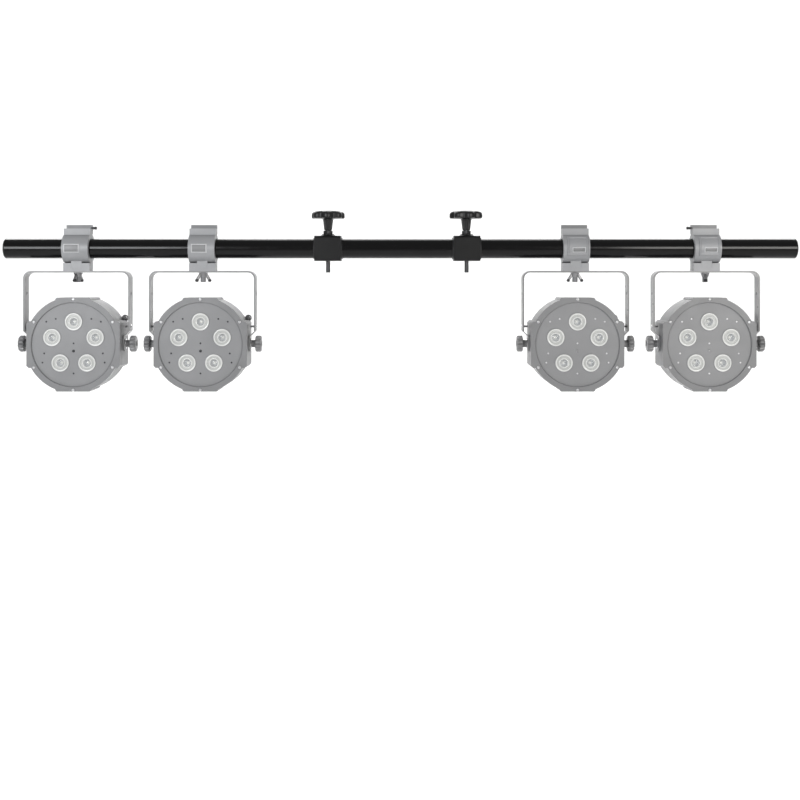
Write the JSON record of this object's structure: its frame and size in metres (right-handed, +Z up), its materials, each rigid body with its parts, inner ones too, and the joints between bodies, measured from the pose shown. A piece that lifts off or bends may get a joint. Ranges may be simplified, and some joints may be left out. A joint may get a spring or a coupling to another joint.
{
  "type": "stage lighting crossbar with par lamps",
  "caption": "Round stage crossbar on two square clamp brackets, with LED par lamps hung from it on pipe clamps, swivelling yokes and tilt knobs.",
  "frame": {"origin": "midway between the two mounting studs, on the plane of the brackets' undersides", "axes": "+X along the bar, -Y towards the side the lamps face, +Z up"},
  "size_m": [1.512, 0.0715, 0.3426],
  "materials": {
    "bar_paint": "gloss black",
    "cap_plastic": "moulded",
    "bracket_paint": "satin black powder coat",
    "liner_plastic": "moulded",
    "lock_plastic": "moulded",
    "bolt_steel": "zinc plated",
    "clamp_paint": "satin grey",
    "clamp_steel": "black oxide",
    "wing_steel": "dark zinc",
    "yoke_paint": "satin grey",
    "head_paint": "satin grey",
    "bezel_paint": "satin grey",
    "face_paint": "satin grey",
    "lens_clear": "clear",
    "board_parts": "white solder mask and aluminium",
    "panel_paint": "satin black",
    "tilt_plastic": "moulded grey"
  },
  "bodies": {
    "brackets": {"bracket_left": "bracket_paint", "bracket_right": "bracket_paint", "bracket_liners": "liner_plastic", "mounting_bolts": "bolt_steel"},
    "crossbar": {"crossbar_tube": "bar_paint", "end_caps": "cap_plastic"},
    "lock_left": {"lock_knob_left": "lock_plastic"},
    "lock_right": {"lock_knob_right": "lock_plastic"},
    "lamp_1_clamp": {"lamp_1_clamp_body": "clamp_paint", "lamp_1_clamp_jaw": "clamp_paint", "lamp_1_clamp_fasteners": "clamp_steel"},
    "lamp_1_wing": {"lamp_1_wing_nut": "wing_steel"},
    "lamp_1_bracket": {"lamp_1_yoke": "yoke_paint"},
    "lamp_1_head": {"lamp_1_housing": "head_paint", "lamp_1_bezel": "bezel_paint", "lamp_1_face_plate": "face_paint", "lamp_1_lenses": "lens_clear", "lamp_1_boards": "board_parts", "lamp_1_rear_panel": "panel_paint"},
    "lamp_1_knob_right": {"lamp_1_tilt_knob_right": "tilt_plastic"},
    "lamp_1_knob_left": {"lamp_1_tilt_knob_left": "tilt_plastic"},
    "lamp_2_clamp": {"lamp_2_clamp_body": "clamp_paint", "lamp_2_clamp_jaw": "clamp_paint", "lamp_2_clamp_fasteners": "clamp_steel"},
    "lamp_2_wing": {"lamp_2_wing_nut": "wing_steel"},
    "lamp_2_bracket": {"lamp_2_yoke": "yoke_paint"},
    "lamp_2_head": {"lamp_2_housing": "head_paint", "lamp_2_bezel": "bezel_paint", "lamp_2_face_plate": "face_paint", "lamp_2_lenses": "lens_clear", "lamp_2_boards": "board_parts", "lamp_2_rear_panel": "panel_paint"},
    "lamp_2_knob_right": {"lamp_2_tilt_knob_right": "tilt_plastic"},
    "lamp_2_knob_left": {"lamp_2_tilt_knob_left": "tilt_plastic"},
    "lamp_3_clamp": {"lamp_3_clamp_body": "clamp_paint", "lamp_3_clamp_jaw": "clamp_paint", "lamp_3_clamp_fasteners": "clamp_steel"},
    "lamp_3_wing": {"lamp_3_wing_nut": "wing_steel"},
    "lamp_3_bracket": {"lamp_3_yoke": "yoke_paint"},
    "lamp_3_head": {"lamp_3_housing": "head_paint", "lamp_3_bezel": "bezel_paint", "lamp_3_face_plate": "face_paint", "lamp_3_lenses": "lens_clear", "lamp_3_boards": "board_parts", "lamp_3_rear_panel": "panel_paint"},
    "lamp_3_knob_right": {"lamp_3_tilt_knob_right": "tilt_plastic"},
    "lamp_3_knob_left": {"lamp_3_tilt_knob_left": "tilt_plastic"},
    "lamp_4_clamp": {"lamp_4_clamp_body": "clamp_paint", "lamp_4_clamp_jaw": "clamp_paint", "lamp_4_clamp_fasteners": "clamp_steel"},
    "lamp_4_wing": {"lamp_4_wing_nut": "wing_steel"},
    "lamp_4_bracket": {"lamp_4_yoke": "yoke_paint"},
    "lamp_4_head": {"lamp_4_housing": "head_paint", "lamp_4_bezel": "bezel_paint", "lamp_4_face_plate": "face_paint", "lamp_4_lenses": "lens_clear", "lamp_4_boards": "board_parts", "lamp_4_rear_panel": "panel_paint"},
    "lamp_4_knob_right": {"lamp_4_tilt_knob_right": "tilt_plastic"},
    "lamp_4_knob_left": {"lamp_4_tilt_knob_left": "tilt_plastic"}
  },
  "joints": [
    {"name": "bar_slide", "type": "slide", "parent": "brackets", "child": "crossbar", "axis": [1, 0, 0], "range_m": [-0.06, 0.06]},
    {"name": "lock_left_turn", "type": "hinge", "parent": "brackets", "child": "lock_left", "pos_m": [-0.1325, 0, 0.09], "axis": [0, 0, 1], "continuous": true},
    {"name": "lock_right_turn", "type": "hinge", "parent": "brackets", "child": "lock_right", "pos_m": [0.1325, 0, 0.09], "axis": [0, 0, 1], "continuous": true},
    {"name": "lamp_1_clamp_slide", "type": "slide", "parent": "crossbar", "child": "lamp_1_clamp", "axis": [1, 0, 0], "range_m": [-0.1, 0.005]},
    {"name": "lamp_1_wing_turn", "type": "hinge", "parent": "lamp_1_clamp", "child": "lamp_1_wing", "pos_m": [-0.611, 0, -0.026], "axis": [0, 0, 1], "continuous": true},
    {"name": "lamp_1_pan", "type": "hinge", "parent": "lamp_1_clamp", "child": "lamp_1_bracket", "pos_m": [-0.611, 0, -0.0195], "axis": [0, 0, 1], "range_deg": [-180, 180]},
    {"name": "lamp_1_tilt", "type": "hinge", "parent": "lamp_1_bracket", "child": "lamp_1_head", "pos_m": [-0.611, 0, -0.158], "axis": [1, 0, 0], "range_deg": [-90, 90]},
    {"name": "lamp_1_knob_right_turn", "type": "hinge", "parent": "lamp_1_head", "child": "lamp_1_knob_right", "pos_m": [-0.505, 0, -0.158], "axis": [1, 0, 0], "continuous": true},
    {"name": "lamp_1_knob_left_turn", "type": "hinge", "parent": "lamp_1_head", "child": "lamp_1_knob_left", "pos_m": [-0.717, 0, -0.158], "axis": [1, 0, 0], "continuous": true},
    {"name": "lamp_2_clamp_slide", "type": "slide", "parent": "crossbar", "child": "lamp_2_clamp", "axis": [1, 0, 0], "range_m": [-0.005, 0.055]},
    {"name": "lamp_2_wing_turn", "type": "hinge", "parent": "lamp_2_clamp", "child": "lamp_2_wing", "pos_m": [-0.3715, 0, -0.026], "axis": [0, 0, 1], "continuous": true},
    {"name": "lamp_2_pan", "type": "hinge", "parent": "lamp_2_clamp", "child": "lamp_2_bracket", "pos_m": [-0.3715, 0, -0.0195], "axis": [0, 0, 1], "range_deg": [-180, 180]},
    {"name": "lamp_2_tilt", "type": "hinge", "parent": "lamp_2_bracket", "child": "lamp_2_head", "pos_m": [-0.3715, 0, -0.158], "axis": [1, 0, 0], "range_deg": [-90, 90]},
    {"name": "lamp_2_knob_right_turn", "type": "hinge", "parent": "lamp_2_head", "child": "lamp_2_knob_right", "pos_m": [-0.2655, 0, -0.158], "axis": [1, 0, 0], "continuous": true},
    {"name": "lamp_2_knob_left_turn", "type": "hinge", "parent": "lamp_2_head", "child": "lamp_2_knob_left", "pos_m": [-0.4775, 0, -0.158], "axis": [1, 0, 0], "continuous": true},
    {"name": "lamp_3_clamp_slide", "type": "slide", "parent": "crossbar", "child": "lamp_3_clamp", "axis": [1, 0, 0], "range_m": [-0.025, 0.005]},
    {"name": "lamp_3_wing_turn", "type": "hinge", "parent": "lamp_3_clamp", "child": "lamp_3_wing", "pos_m": [0.34, 0, -0.026], "axis": [0, 0, 1], "continuous": true},
    {"name": "lamp_3_pan", "type": "hinge", "parent": "lamp_3_clamp", "child": "lamp_3_bracket", "pos_m": [0.34, 0, -0.0195], "axis": [0, 0, 1], "range_deg": [-180, 180]},
    {"name": "lamp_3_tilt", "type": "hinge", "parent": "lamp_3_bracket", "child": "lamp_3_head", "pos_m": [0.34, 0, -0.158], "axis": [1, 0, 0], "range_deg": [-90, 90]},
    {"name": "lamp_3_knob_right_turn", "type": "hinge", "parent": "lamp_3_head", "child": "lamp_3_knob_right", "pos_m": [0.446, 0, -0.158], "axis": [1, 0, 0], "continuous": true},
    {"name": "lamp_3_knob_left_turn", "type": "hinge", "parent": "lamp_3_head", "child": "lamp_3_knob_left", "pos_m": [0.234, 0, -0.158], "axis": [1, 0, 0], "continuous": true},
    {"name": "lamp_4_clamp_slide", "type": "slide", "parent": "crossbar", "child": "lamp_4_clamp", "axis": [1, 0, 0], "range_m": [-0.005, 0.14]},
    {"name": "lamp_4_wing_turn", "type": "hinge", "parent": "lamp_4_clamp", "child": "lamp_4_wing", "pos_m": [0.589, 0, -0.026], "axis": [0, 0, 1], "continuous": true},
    {"name": "lamp_4_pan", "type": "hinge", "parent": "lamp_4_clamp", "child": "lamp_4_bracket", "pos_m": [0.589, 0, -0.0195], "axis": [0, 0, 1], "range_deg": [-180, 180]},
    {"name": "lamp_4_tilt", "type": "hinge", "parent": "lamp_4_bracket", "child": "lamp_4_head", "pos_m": [0.589, 0, -0.158], "axis": [1, 0, 0], "range_deg": [-90, 90]},
    {"name": "lamp_4_knob_right_turn", "type": "hinge", "parent": "lamp_4_head", "child": "lamp_4_knob_right", "pos_m": [0.695, 0, -0.158], "axis": [1, 0, 0], "continuous": true},
    {"name": "lamp_4_knob_left_turn", "type": "hinge", "parent": "lamp_4_head", "child": "lamp_4_knob_left", "pos_m": [0.483, 0, -0.158], "axis": [1, 0, 0], "continuous": true}
  ]
}
